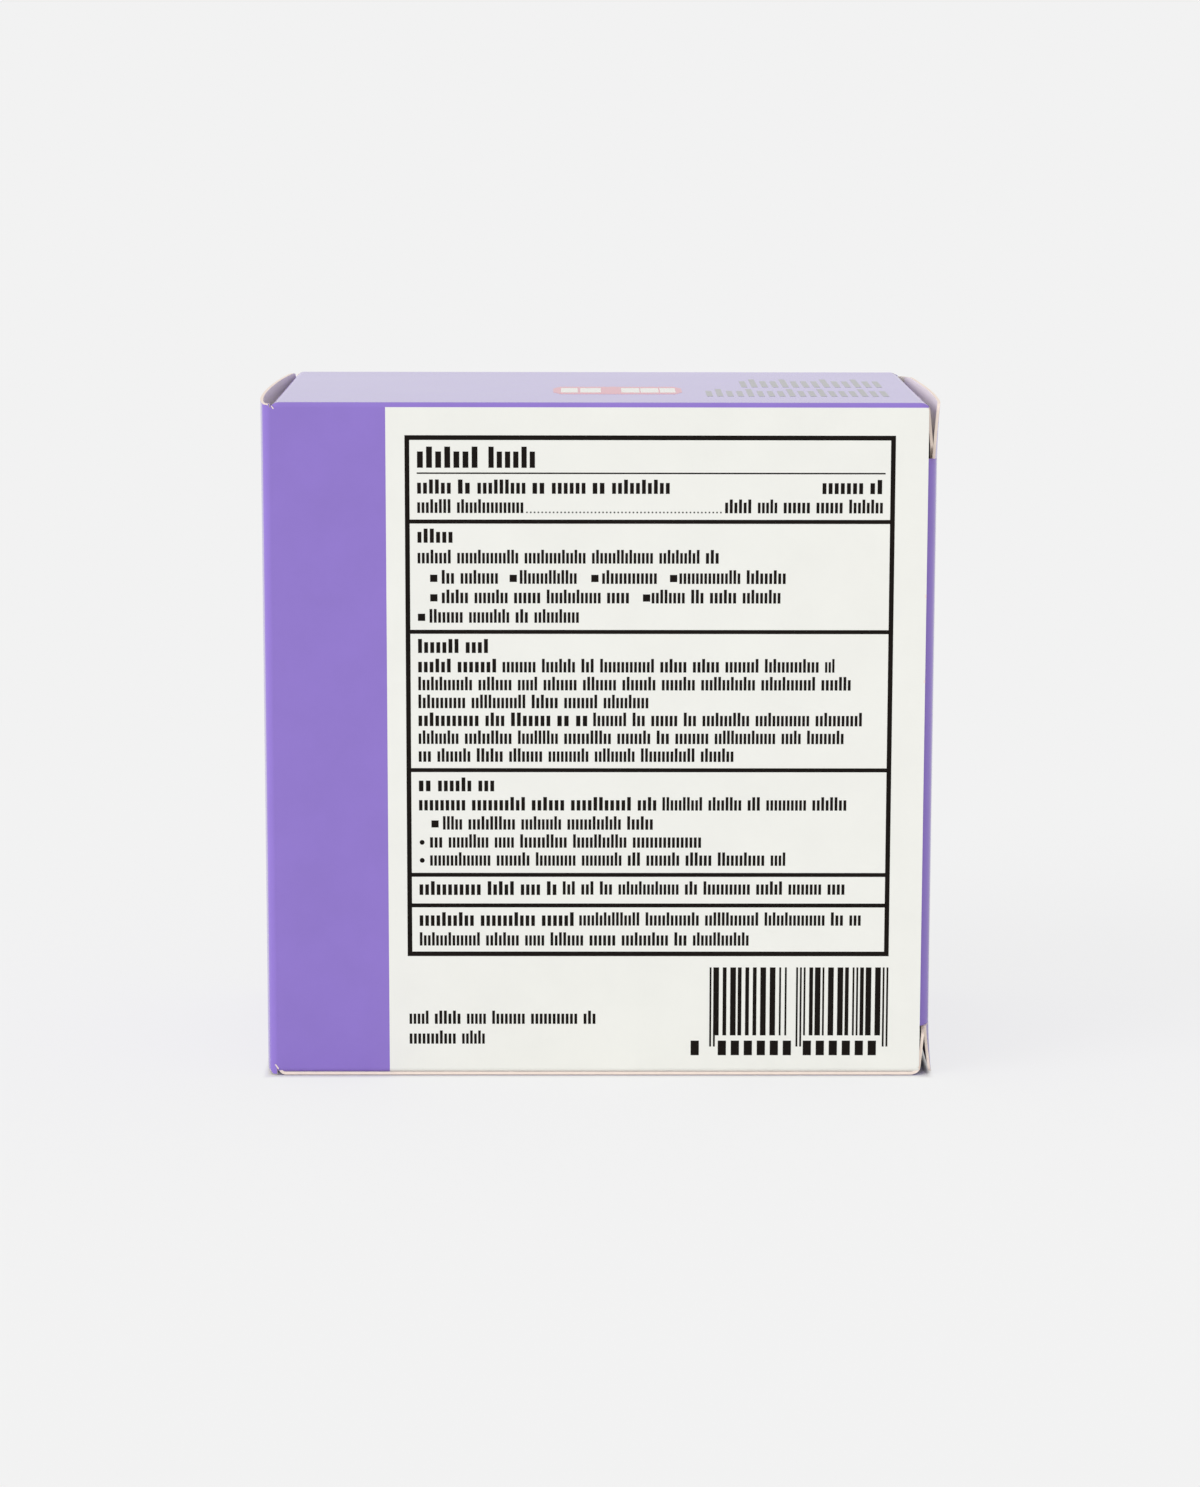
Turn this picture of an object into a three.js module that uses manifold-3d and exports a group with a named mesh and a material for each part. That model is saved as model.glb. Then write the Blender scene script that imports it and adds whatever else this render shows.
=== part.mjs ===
// A tuck-end carton of tablets, in millimetres. It stands on its bottom panel with +Z up.
// The carton is one folded sheet of board: a tube of four panels with its seam at the bottom,
// two dust flaps folded in at each end, and an end flap at each end that tucks in over them.
// The left end flap (-X) is creased on the rear panel (-Y), the right one (+X) on the front panel (+Y).
// Inside stand two stacks of blister strips and a folded leaflet.
import * as THREE from "three";
import { mergeVertices } from "three/addons/utils/BufferGeometryUtils.js";
import Module from "manifold-3d";

const wasm = await Module();
wasm.setup();

// Carton, outside sizes. The length is measured between the faces of the dust flaps.
const cartonLength = 89.7;
const cartonDepth = 54;
const cartonHeight = 94.2;
const boardThickness = 0.4;

// Creases, radius of the outer face
const tubeCreaseRadius = 0.7;
const dustCreaseRadius = 1.1;
const flapCreaseRadius = 1.2;
const tuckCreaseRadius = 1.8;

// Main panels
const cutEdgeOverhang = 0.1; // the cut edge of the rear or front panel past the dust flap
const cutEdgeCorner = 0.3;
const creaseSlit = 0.12; // the cut between an end flap's crease and the tube's creases
const creaseFootChamfer = 0.9; // the slanted cut at the lower end of an end flap's crease
const glueTabWidth = 12;
const glueTabTaper = 3;
const glueTabEndGap = 2;
const glueSink = 0.02; // the glued faces share this much, so that tab and panel are one piece

// Dust flaps
const dustFlapLength = 30;
const dustFlapRoot = 6.5; // the springing stretch below the crease, before the flap bends a little
const dustFlapSideGap = 1.3;
const dustFlapTaper = 3.4;
const dustShoulderLength = 5.8; // the full-width stretch that the end flap's corner locks on
const dustShoulderStep = 1.4;
const dustTipRadius = 6;

// End flaps and their tucks
const flapStandOff = 1.2; // outer face of an end flap past the dust flaps, at its crease
const flapTopGap = 0.1;
const flapBottomGap = 0.5;
const hingeGap = 0.3;
const tuckLength = 15;
const tuckShoulder = 7.6; // the end flap's free edge beside the tuck, at the top and at the bottom
const tuckCornerRadius = 12;
const tuckClearance = 0.35; // between the swinging tuck and the panel that it slides behind

// How each end is cut and has sprung. rootLean and tipLean: the dust flaps' slope outward, at the root
// and past it. creaseTaper and creaseTaperLength: how much lower the end flap's edge starts at its crease.
// cornerDrop and cornerReach: its rounded corner beside the tuck. The rest is the end flap's bow: its
// curve's pulls near the crease and near the tuck, how far from those ends they act, and where the tuck's
// fold ends up.
const leftEnd = {
  rootLean: THREE.MathUtils.degToRad(-0.5),
  tipLean: THREE.MathUtils.degToRad(-0.5),
  creaseTaper: 0.1,
  creaseTaperLength: 4,
  cornerDrop: 1.5,
  cornerReach: 5,
  creasePull: 1.8,
  creaseReach: 9,
  tuckPull: 1,
  tuckReach: 10,
  tuckStandOff: -0.6,
};
const rightEnd = {
  rootLean: THREE.MathUtils.degToRad(5.5),
  tipLean: THREE.MathUtils.degToRad(-0.8),
  creaseTaper: 1,
  creaseTaperLength: 8,
  cornerDrop: 1.4,
  cornerReach: 1.4,
  creasePull: 0.5,
  creaseReach: 13,
  tuckPull: 2.8,
  tuckReach: 11,
  tuckStandOff: 0.5,
};

// Contents
const contentsClearance = 0.3;
const headroom = 3;
const stripFoil = 0.4;
const stripCornerRadius = 3;
const pocketLength = 18.6;
const pocketWidth = 9.6;
const pocketHeight = 7;
const pocketShoulderHeight = 4.8;
const pocketDraft = 0.7;
const pocketCrownInset = 2.3;
const pocketRowPitch = 17.3;
const pocketColumnGap = 1.5;
const leafletWidth = 42;
const leafletHeight = 86;
const leafletLayers = 8;
const leafletPaper = 0.2;
const leafletPitch = 0.45;

// Places that follow from the sizes above
const halfLength = cartonLength / 2;
const halfDepth = cartonDepth / 2;
const innerHalfDepth = halfDepth - boardThickness;
const hingeX = halfLength + flapStandOff;
const hingeY = halfDepth - flapCreaseRadius;
const tuckSwingRadius = hingeY + innerHalfDepth - tuckClearance;
const tuckMidRadius = tuckSwingRadius - boardThickness / 2;
const flapBottom = flapBottomGap;
const flapTop = cartonHeight - flapTopGap;

const arcSteps = 4;
const overlap = 0.5; // how far one cut or joined shape reaches into another
const beyond = 10; // how far a cutting shape passes what it cuts

const purpleBoard = new THREE.MeshStandardMaterial({ color: 0x8c73c9, roughness: 0.35 });
const whiteFilm = new THREE.MeshStandardMaterial({ color: 0xf4f4f2, roughness: 0.4 });
const leafletStock = new THREE.MeshStandardMaterial({ color: 0xf0eee8, roughness: 0.8 });

function solid(geometry) {
  const bare = geometry.clone();
  bare.deleteAttribute("normal");
  bare.deleteAttribute("uv");
  const merged = mergeVertices(bare, 1e-4);
  return new wasm.Manifold(new wasm.Mesh({
    numProp: 3,
    vertProperties: merged.attributes.position.array,
    triVerts: new Uint32Array(merged.index.array),
  }));
}

function geometryOf(manifold) {
  const mesh = manifold.getMesh();
  const geometry = new THREE.BufferGeometry();
  geometry.setAttribute("position", new THREE.BufferAttribute(mesh.vertProperties, 3));
  geometry.setIndex(new THREE.BufferAttribute(mesh.triVerts, 1));
  geometry.computeVertexNormals();
  return geometry;
}

function union(solids) {
  return solids.reduce((whole, piece) => whole.add(piece));
}

function extruded(shape, depth) {
  return new THREE.ExtrudeGeometry(shape, { depth, bevelEnabled: false, curveSegments: arcSteps });
}

// A shape drawn in X and Y, pushed up from one height to another. The heights are exact, so that
// shapes stacked on each other join.
function alongZ(shape, from, to) {
  const geometry = extruded(shape, to - from);
  const position = geometry.attributes.position;
  for (let i = 0; i < position.count; i++) position.setZ(i, position.getZ(i) > 0 ? to : from);
  return solid(geometry);
}

// A shape drawn in X and Z, pushed along Y.
function alongY(shape, from, to) {
  return solid(extruded(shape, to - from).rotateX(Math.PI / 2).translate(0, to, 0));
}

// A shape drawn in Y and Z, pushed along X.
function alongX(shape, from, to) {
  return solid(extruded(shape, to - from).rotateX(Math.PI / 2).rotateZ(Math.PI / 2).translate(from, 0, 0));
}

// The points of a line that bends at its corners, each corner rounded to its own radius.
function bentLine(corners, radii) {
  const points = [corners[0]];
  for (let i = 1; i < corners.length - 1; i++) {
    const radius = radii[i - 1];
    const before = corners[i].clone().sub(corners[i - 1]).normalize();
    const after = corners[i + 1].clone().sub(corners[i]).normalize();
    const turn = Math.atan2(before.cross(after), before.dot(after));
    if (radius === 0) {
      points.push(corners[i]);
      continue;
    }
    const start = corners[i].clone().addScaledVector(before, -radius * Math.tan(Math.abs(turn) / 2));
    const toCentre = new THREE.Vector2(-before.y, before.x).multiplyScalar(Math.sign(turn) * radius);
    const centre = start.clone().add(toCentre);
    for (let k = 0; k <= arcSteps; k++) {
      points.push(start.clone().rotateAround(centre, (turn * k) / arcSteps));
    }
  }
  points.push(corners[corners.length - 1]);
  return points;
}

// The section of a sheet whose middle follows a line.
function sheetSection(line, thickness) {
  const sides = [[], []];
  line.forEach((point, i) => {
    const before = point.clone().sub(line[Math.max(i - 1, 0)]).normalize();
    const after = line[Math.min(i + 1, line.length - 1)].clone().sub(point).normalize();
    const along = before.clone().add(after).normalize();
    const halfTurn = before.length() * after.length() > 0 ? before.angleTo(after) / 2 : 0;
    const normal = new THREE.Vector2(-along.y, along.x).multiplyScalar(thickness / 2 / Math.cos(halfTurn));
    sides[0].push(point.clone().add(normal));
    sides[1].push(point.clone().sub(normal));
  });
  return new THREE.Shape([...sides[0], ...sides[1].reverse()]);
}

function boardSection(corners, radii) {
  const points = corners.map(([a, b]) => new THREE.Vector2(a, b));
  return sheetSection(bentLine(points, radii), boardThickness);
}

// A rectangle with a radius of its own at each corner: low-low, high-low, high-high, low-high.
function roundedRectangle(lowA, lowB, highA, highB, radii) {
  const [r0, r1, r2, r3] = radii;
  const shape = new THREE.Shape();
  const corner = (a, b, radius, start) => {
    if (radius > 0) shape.absarc(a, b, radius, start, start + Math.PI / 2, false);
    else shape.lineTo(a, b);
  };
  shape.moveTo(lowA + r0, lowB);
  corner(highA - r1, lowB + r1, r1, -Math.PI / 2);
  corner(highA - r2, highB - r2, r2, 0);
  corner(lowA + r3, highB - r3, r3, Math.PI / 2);
  corner(lowA + r0, lowB + r0, r0, Math.PI);
  shape.closePath();
  return shape;
}

// The four panels: up the rear, over the top, down the front and back under, to the cut edge at the seam.
function tube() {
  const mid = boardThickness / 2;
  const bend = tubeCreaseRadius - mid;
  const section = boardSection(
    [
      [-halfDepth + mid, halfDepth],
      [-halfDepth + mid, cartonHeight - mid],
      [halfDepth - mid, cartonHeight - mid],
      [halfDepth - mid, mid],
      [-halfDepth + mid, mid],
    ],
    [bend, bend, bend],
  );
  const ends = roundedRectangle(-halfLength, 0, halfLength, cartonHeight, Array(4).fill(dustCreaseRadius));
  return alongX(section, -halfLength, halfLength)
    .intersect(alongY(ends, -halfDepth - beyond, halfDepth + beyond));
}

// The rear panel's lower stretch, turned in over the bottom panel and glued down on it.
function glueTab() {
  const mid = boardThickness / 2;
  const tabHeight = boardThickness + mid - glueSink;
  const section = boardSection(
    [
      [-halfDepth + mid, halfDepth + overlap],
      [-halfDepth + mid, tabHeight],
      [-halfDepth + mid + glueTabWidth, tabHeight],
    ],
    [tubeCreaseRadius - mid],
  );
  const end = halfLength - glueTabEndGap;
  const trim = new THREE.Shape([
    new THREE.Vector2(-halfLength, -halfDepth - beyond),
    new THREE.Vector2(halfLength, -halfDepth - beyond),
    new THREE.Vector2(halfLength, -halfDepth + tubeCreaseRadius),
    new THREE.Vector2(end, -halfDepth + tubeCreaseRadius),
    new THREE.Vector2(end - glueTabTaper, -halfDepth + mid + glueTabWidth),
    new THREE.Vector2(-end + glueTabTaper, -halfDepth + mid + glueTabWidth),
    new THREE.Vector2(-end, -halfDepth + tubeCreaseRadius),
    new THREE.Vector2(-halfLength, -halfDepth + tubeCreaseRadius),
  ]);
  return alongX(section, -halfLength, halfLength).intersect(alongZ(trim, -beyond, cartonHeight));
}

// One end's share of a main panel: its cut edge at one end, or the crease that carries an end flap.
function cutEdge() {
  const plate = roundedRectangle(
    halfLength - tubeCreaseRadius - overlap,
    boardThickness + tubeCreaseRadius,
    halfLength + cutEdgeOverhang,
    cartonHeight - tubeCreaseRadius,
    [0, cutEdgeCorner, cutEdgeCorner, 0],
  );
  return alongY(plate, -halfDepth, -innerHalfDepth);
}

function flapCrease() {
  const mid = boardThickness / 2;
  const section = boardSection(
    [
      [halfLength - dustCreaseRadius - beyond, halfDepth - mid],
      [hingeX - mid, halfDepth - mid],
      [hingeX - mid, hingeY],
    ],
    [flapCreaseRadius - mid],
  );
  // Between the tube's creases it joins the panel. Past the slits it is as tall as the end flap.
  const panelLow = boardThickness + tubeCreaseRadius;
  const panelHigh = cartonHeight - tubeCreaseRadius;
  const slitX = halfLength + creaseSlit;
  const outline = new THREE.Shape([
    new THREE.Vector2(halfLength - dustCreaseRadius - overlap, panelLow),
    new THREE.Vector2(slitX, panelLow),
    new THREE.Vector2(slitX, flapBottom),
    new THREE.Vector2(hingeX - creaseFootChamfer, flapBottom),
    new THREE.Vector2(hingeX + overlap, flapBottom + creaseFootChamfer + overlap),
    new THREE.Vector2(hingeX + overlap, flapTop),
    new THREE.Vector2(slitX, flapTop),
    new THREE.Vector2(slitX, panelHigh),
    new THREE.Vector2(halfLength - dustCreaseRadius - overlap, panelHigh),
  ]);
  return alongZ(section, flapBottom, flapTop).intersect(alongY(outline, 0, halfDepth + beyond));
}

// A dust flap at the +X end. up is 1 for the one that folds up from the bottom panel, -1 for the top one.
function dustFlap(end, up) {
  const mid = boardThickness / 2;
  const base = up > 0 ? 0 : cartonHeight;
  const height = (depth) => base + up * depth;
  const rootX = halfLength - mid;
  const kneeX = rootX + Math.tan(end.rootLean) * dustFlapRoot;
  const tipX = kneeX + Math.tan(end.tipLean) * (dustFlapLength - dustFlapRoot);
  const section = boardSection(
    [
      [rootX - dustCreaseRadius - overlap * 2, height(mid)],
      [rootX, height(mid)],
      [kneeX, height(dustFlapRoot)],
      [tipX, height(dustFlapLength)],
    ],
    [dustCreaseRadius - mid, 0],
  );
  // The tuck slides in on the -Y side, where the flap is full width only down to its lock shoulder.
  const tuckSide = -innerHalfDepth + contentsClearance;
  const shoulderSide = tuckSide + dustShoulderStep;
  const creaseSide = hingeY - dustFlapSideGap;
  const fullDepth = dustCreaseRadius;
  const taper = (depth) => (dustFlapTaper * depth) / dustFlapLength;
  const cornerDepth = dustFlapLength - dustTipRadius;
  const outline = new THREE.Shape();
  outline.moveTo(tuckSide, height(-beyond));
  outline.lineTo(tuckSide, height(dustShoulderLength));
  outline.lineTo(shoulderSide, height(dustShoulderLength + dustShoulderStep));
  outline.lineTo(shoulderSide + taper(cornerDepth), height(cornerDepth));
  outline.quadraticCurveTo(
    shoulderSide + taper(dustFlapLength), height(dustFlapLength),
    shoulderSide + taper(dustFlapLength) + dustTipRadius, height(dustFlapLength),
  );
  outline.lineTo(creaseSide - taper(dustFlapLength) - dustTipRadius, height(dustFlapLength));
  outline.quadraticCurveTo(
    creaseSide - taper(dustFlapLength), height(dustFlapLength),
    creaseSide - taper(cornerDepth), height(cornerDepth),
  );
  outline.lineTo(creaseSide, height(fullDepth));
  outline.lineTo(creaseSide, height(-beyond));
  outline.closePath();
  return alongY(section, -innerHalfDepth, innerHalfDepth)
    .intersect(alongX(outline, halfLength - dustCreaseRadius - beyond, hingeX + beyond));
}

function halfTurned(piece) {
  return piece.rotate([0, 0, 180]);
}

function cartonSolid() {
  const panelEnds = cutEdge().add(flapCrease());
  const right = union([panelEnds, dustFlap(rightEnd, 1), dustFlap(rightEnd, -1)]);
  const left = union([panelEnds, dustFlap(leftEnd, 1), dustFlap(leftEnd, -1)]);
  return union([tube(), glueTab(), right, halfTurned(left)]);
}

// The middle of an end flap's board at the +X end, from its crease to the corner of its tuck.
function flapLine(end) {
  const mid = boardThickness / 2;
  const span = tuckMidRadius - hingeGap;
  const place = (reach, out) => new THREE.Vector2(hingeX - mid + out, hingeY - hingeGap - reach);
  const curve = new THREE.CubicBezierCurve(
    place(0, 0),
    place(end.creaseReach, end.creasePull),
    place(span - end.tuckReach, end.tuckPull),
    place(span, end.tuckStandOff),
  );
  return curve.getPoints(arcSteps * 4);
}

// The tuck follows a circle about the flap's crease, so that it slides out past the panel's cut edge.
function tuckLine() {
  const sweep = tuckLength / tuckMidRadius;
  const points = [];
  for (let k = 1; k <= arcSteps; k++) {
    const angle = (sweep * k) / arcSteps;
    points.push(new THREE.Vector2(
      hingeX - tuckMidRadius * Math.sin(angle),
      hingeY - tuckMidRadius * Math.cos(angle),
    ));
  }
  return points;
}

// An end flap's outline in Y and Z, open to the crease. Its edges rise from the crease and drop at the tuck.
function flapOutline(end) {
  const tuckSide = hingeY - tuckSwingRadius;
  const taperEnd = hingeY - end.creaseTaperLength;
  const outline = new THREE.Shape();
  outline.moveTo(tuckSide, flapBottom + end.cornerDrop);
  outline.quadraticCurveTo(tuckSide, flapBottom, tuckSide + end.cornerReach, flapBottom);
  outline.lineTo(taperEnd, flapBottom);
  outline.lineTo(hingeY, flapBottom + end.creaseTaper);
  outline.lineTo(hingeY, flapTop - end.creaseTaper);
  outline.lineTo(taperEnd, flapTop);
  outline.lineTo(tuckSide + end.cornerReach, flapTop);
  outline.quadraticCurveTo(tuckSide, flapTop, tuckSide, flapTop - end.cornerDrop);
  outline.closePath();
  return outline;
}

function endFlapSolid(end) {
  const straight = flapLine(end);
  const folded = [...straight, ...tuckLine()];
  const bend = tuckCreaseRadius - boardThickness / 2;
  const radii = folded.slice(1, -1).map((_, i) => (i === straight.length - 2 ? bend : 0));
  const shoulder = sheetSection(straight, boardThickness);
  const tucked = sheetSection(bentLine(folded, radii), boardThickness);
  const lowSlit = flapBottom + tuckShoulder;
  const highSlit = flapTop - tuckShoulder;
  const sheet = union([
    alongZ(shoulder, flapBottom, lowSlit),
    alongZ(tucked, lowSlit, highSlit),
    alongZ(shoulder, highSlit, flapTop),
  ]);
  const tuckTip = hingeX - tuckMidRadius * Math.sin(tuckLength / tuckMidRadius);
  const tuckOutline = roundedRectangle(
    tuckTip - overlap, lowSlit, hingeX - tuckCreaseRadius, highSlit,
    [tuckCornerRadius, 0, 0, tuckCornerRadius],
  );
  const room = new THREE.Shape([
    new THREE.Vector2(hingeX - tuckCreaseRadius, flapBottom - beyond),
    new THREE.Vector2(hingeX + beyond, flapBottom - beyond),
    new THREE.Vector2(hingeX + beyond, flapTop + beyond),
    new THREE.Vector2(hingeX - tuckCreaseRadius, flapTop + beyond),
  ]);
  const silhouette = union([tuckOutline, room].map((s) => alongY(s, -halfDepth - beyond, halfDepth)));
  return sheet
    .intersect(alongX(flapOutline(end), 0, hingeX + beyond))
    .intersect(silhouette);
}

// A closed solid through rings of points of the same count, each with its own height.
function loft(rings) {
  const count = rings[0].points.length;
  const positions = rings.flatMap((ring) => ring.points.flatMap((p) => [p.x, ring.height, p.y]));
  const index = [];
  for (let level = 0; level < rings.length - 1; level++) {
    for (let i = 0; i < count; i++) {
      const a = level * count + i;
      const b = level * count + ((i + 1) % count);
      index.push(a, a + count, b, b, a + count, b + count);
    }
  }
  const top = (rings.length - 1) * count;
  for (let i = 1; i < count - 1; i++) {
    index.push(0, i, i + 1);
    index.push(top, top + i + 1, top + i);
  }
  const geometry = new THREE.BufferGeometry();
  geometry.setAttribute("position", new THREE.Float32BufferAttribute(positions, 3));
  geometry.setIndex(index);
  return solid(geometry);
}

// The outline of an oblong tablet pocket, drawn in a given distance from its edge.
function pocketRing(inset, height) {
  const radius = pocketWidth / 2;
  const straight = pocketLength / 2 - radius;
  const endSteps = 5;
  const points = [];
  for (const side of [1, -1]) {
    for (let k = 0; k <= endSteps; k++) {
      const angle = (-side * Math.PI) / 2 + (Math.PI * k) / endSteps;
      points.push(new THREE.Vector2(
        side * straight + (radius - inset) * Math.cos(angle),
        (radius - inset) * Math.sin(angle),
      ));
    }
  }
  return { points, height };
}

const dustTipInset = Math.max(0, -Math.tan(leftEnd.tipLean) * dustFlapLength);
const stripWidth = halfLength - boardThickness - dustTipInset - contentsClearance * 1.5;
const stripBottom = boardThickness * 2 + contentsClearance;
const stripHeight = cartonHeight - boardThickness - headroom - stripBottom;
const stripPitch = stripFoil + pocketHeight + contentsClearance;
const leafletDepth = (leafletLayers - 1) * leafletPitch + leafletPaper;

// A stack takes the room between its own wall and the leaflet, which lies against the other end's tuck.
const tuckTipY = tuckMidRadius * Math.cos(tuckLength / tuckMidRadius) - hingeY;
const leafletY = -tuckTipY + boardThickness / 2 + contentsClearance;
const stackBack = innerHalfDepth - contentsClearance;
const stripsInStack = Math.floor((stackBack - leafletY - leafletDepth) / stripPitch);

// A blister strip, its foil face at y = 0 and its pockets towards +Y, centred on x = 0 and standing on z = 0.
function stripSolid() {
  const foil = roundedRectangle(
    -stripWidth / 2, 0, stripWidth / 2, stripHeight, Array(4).fill(stripCornerRadius),
  );
  const pocket = loft([
    pocketRing(0, stripFoil / 2),
    pocketRing(pocketDraft, pocketShoulderHeight + stripFoil),
    pocketRing(pocketCrownInset, pocketHeight + stripFoil),
  ]);
  const columns = Math.max(1, Math.floor((stripWidth - pocketColumnGap) / (pocketLength + pocketColumnGap)));
  const rows = Math.max(1, Math.floor(stripHeight / pocketRowPitch));
  const columnPitch = stripWidth / columns;
  const pockets = [];
  for (let row = 0; row < rows; row++) {
    for (let column = 0; column < columns; column++) {
      const x = (column - (columns - 1) / 2) * columnPitch;
      const z = stripHeight / 2 + (row - (rows - 1) / 2) * pocketRowPitch;
      pockets.push(pocket.translate([x, 0, z]));
    }
  }
  return union([alongY(foil, 0, stripFoil), ...pockets]);
}

// One sheet of thin paper, folded to and fro, its first layer at y = 0 and the rest towards +Y.
function leafletSolid() {
  const fold = leafletPitch / 2;
  const corners = [];
  for (let layer = 0; layer < leafletLayers; layer++) {
    const side = layer % 2 === 0 ? 1 : -1;
    const y = layer * leafletPitch + leafletPaper / 2;
    corners.push(new THREE.Vector2((-side * leafletWidth) / 2, y));
    corners.push(new THREE.Vector2((side * leafletWidth) / 2, y));
  }
  const radii = Array(corners.length - 2).fill(fold * 0.98);
  return alongZ(sheetSection(bentLine(corners, radii), leafletPaper), 0, leafletHeight);
}

function named(name, manifold, material) {
  const mesh = new THREE.Mesh(geometryOf(manifold), material);
  mesh.name = name;
  return mesh;
}

function contents() {
  const group = new THREE.Group();
  const strip = stripSolid();
  const columnX = contentsClearance / 2 + stripWidth / 2;
  for (const [stack, turn] of [Math.PI, 0].entries()) {
    const half = new THREE.Group();
    half.rotation.z = turn + Math.PI;
    for (let i = 0; i < stripsInStack; i++) {
      const mesh = named(`blister_strip_${stack * stripsInStack + i + 1}`, strip, whiteFilm);
      mesh.position.set(-columnX, -stackBack + i * stripPitch, stripBottom);
      half.add(mesh);
    }
    group.add(half);
  }
  const leaflet = named("leaflet", leafletSolid(), leafletStock);
  leaflet.position.set(columnX, leafletY, stripBottom);
  group.add(leaflet);
  return group;
}

const box = new THREE.Group();
box.add(named("carton", cartonSolid(), purpleBoard));
const leftFlap = named("left_end_flap", endFlapSolid(leftEnd), purpleBoard);
leftFlap.rotation.z = Math.PI;
box.add(leftFlap);
box.add(named("right_end_flap", endFlapSolid(rightEnd), purpleBoard));
box.add(contents());

export default box;
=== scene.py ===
import math
import random

import bpy
from mathutils import Matrix, Vector, geometry


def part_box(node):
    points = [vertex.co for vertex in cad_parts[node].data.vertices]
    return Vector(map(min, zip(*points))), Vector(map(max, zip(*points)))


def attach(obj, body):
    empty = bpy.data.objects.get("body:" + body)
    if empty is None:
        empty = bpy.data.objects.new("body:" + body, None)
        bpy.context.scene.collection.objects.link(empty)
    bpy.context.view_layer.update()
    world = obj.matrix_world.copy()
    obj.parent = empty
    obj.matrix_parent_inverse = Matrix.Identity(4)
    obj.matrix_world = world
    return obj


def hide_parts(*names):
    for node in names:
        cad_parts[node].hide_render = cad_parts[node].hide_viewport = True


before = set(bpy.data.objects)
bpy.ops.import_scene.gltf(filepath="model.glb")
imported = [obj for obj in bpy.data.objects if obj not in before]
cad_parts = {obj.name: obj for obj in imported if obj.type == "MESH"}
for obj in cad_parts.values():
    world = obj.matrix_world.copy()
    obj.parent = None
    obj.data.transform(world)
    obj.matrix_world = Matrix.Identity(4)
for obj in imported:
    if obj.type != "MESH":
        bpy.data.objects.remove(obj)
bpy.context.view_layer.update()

# All sizes are in millimetres. They become metres where a mesh is made.
MM = 0.001

# Carton, from the frame
carton_high = Vector(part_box("carton")[1]) / MM
HALF_DEPTH = carton_high.y
HEIGHT = carton_high.z
HINGE_X = carton_high.x
BOARD = 0.4
MID = BOARD / 2

# Creases and ends. Most have the source's values.
TUBE_CREASE = 0.7
DUST_CREASE = 1.1
FLAP_CREASE = 1.2
TUCK_CREASE = 1.8
FLAP_STAND_OFF = 1.2
CUT_EDGE_OVERHANG = 0.1
CUT_EDGE_CORNER = 0.3
CREASE_SLIT = 0.12
CREASE_FOOT = 0.9
GLUE_TAB_WIDTH = 12.0
GLUE_TAB_TAPER = 3.0
GLUE_TAB_END_GAP = 2.0
DUST_LENGTH = 30.0
DUST_ROOT = 6.5
DUST_SIDE_GAP = 1.3
DUST_TAPER = 3.4
DUST_SHOULDER = 5.8
DUST_STEP = 1.4
DUST_TIP_RADIUS = 6.0
DUST_KNEE_RADIUS = 14.0
DUST_SPRING = 0.3  # how far the right dust flaps' free side stands out past their crease side
DUST_BLEED = 2.5  # how far the panels' print runs onto the dust flaps
FLAP_TOP_GAP = 0.1
FLAP_BOTTOM_GAP = 0.15
TUCK_LENGTH = 15.0
TUCK_SHOULDER = 7.6
LOW_TUCK_SHOULDER = 6.7  # the lower slit is cut a little lower than the upper one
TUCK_CORNER = 12.0
TUCK_CLEARANCE = 0.35
CUT_WIDTH = 0.04  # of the slits beside the tuck
CAP_CUT = 0.04  # the end of the tube's creases past the dust flaps' face
SEAM_STEP = 0.9  # the stretch of the seam's cut edge that runs on to the end

# How each end is cut and has sprung. root_lean and tip_lean: the dust flaps' slope outward. crease_taper: how
# much lower the end flap's edge starts at its crease. corner_drop and corner_reach: its rounded free corner.
# crease_pull to stand_off: the end flap's bow, as in the source. flare and low_flare: how far the free edges
# beside the tuck spring out, at the top and at the bottom.
LEFT_END = {
    "root_lean": math.radians(-2), "tip_lean": math.radians(-0.5),
    "crease_taper": 0.1, "crease_taper_length": 4, "corner_drop": 0.5, "corner_reach": 2,
    "crease_pull": 1.8, "crease_reach": 9, "tuck_pull": 1, "tuck_reach": 10, "stand_off": -0.78,
    "flare": 0.1, "low_flare": 0.1,
}
RIGHT_END = {
    "root_lean": math.radians(5.5), "tip_lean": math.radians(-0.8),
    "crease_taper": 0.5, "crease_taper_length": 8, "corner_drop": 1.4, "corner_reach": 1.4,
    "crease_pull": 0.5, "crease_reach": 13, "tuck_pull": 2.2, "tuck_reach": 11, "stand_off": -0.1,
    "flare": 0.55, "low_flare": 0.9,
}
FLARE_REACH = 14.0
FLARE_POWER = 1.3
FOLD_PULL = 0.38  # of the tuck's fold, as a share of the distance that it bridges
FOLD_EASE = 0.004  # radians past the fold where the tuck's own curve begins

HALF_LENGTH = HINGE_X - FLAP_STAND_OFF
HINGE_Y = HALF_DEPTH - FLAP_CREASE
TUCK_RADIUS = HINGE_Y + HALF_DEPTH - BOARD - TUCK_CLEARANCE - MID

# The white field on the rear panel, and how far print stands out from its panel
FIELD_LEFT = -29.2
FIELD_TOP_GAP = -0.05
INK_PROUD = 0.012

PURPLE = (141, 115, 201)
FIELD_WHITE = (238, 238, 232)
BOARD_CREAM = (252, 243, 241)
EDGE_CREAM = (242, 226, 214)
INK_BLACK = (22, 17, 14)
CRIMSON = (205, 30, 95)
DARK_VIOLET = (34, 32, 50)
BACKGROUND = (242, 242, 242)
FLOOR_PALE = (238, 238, 238)

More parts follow.
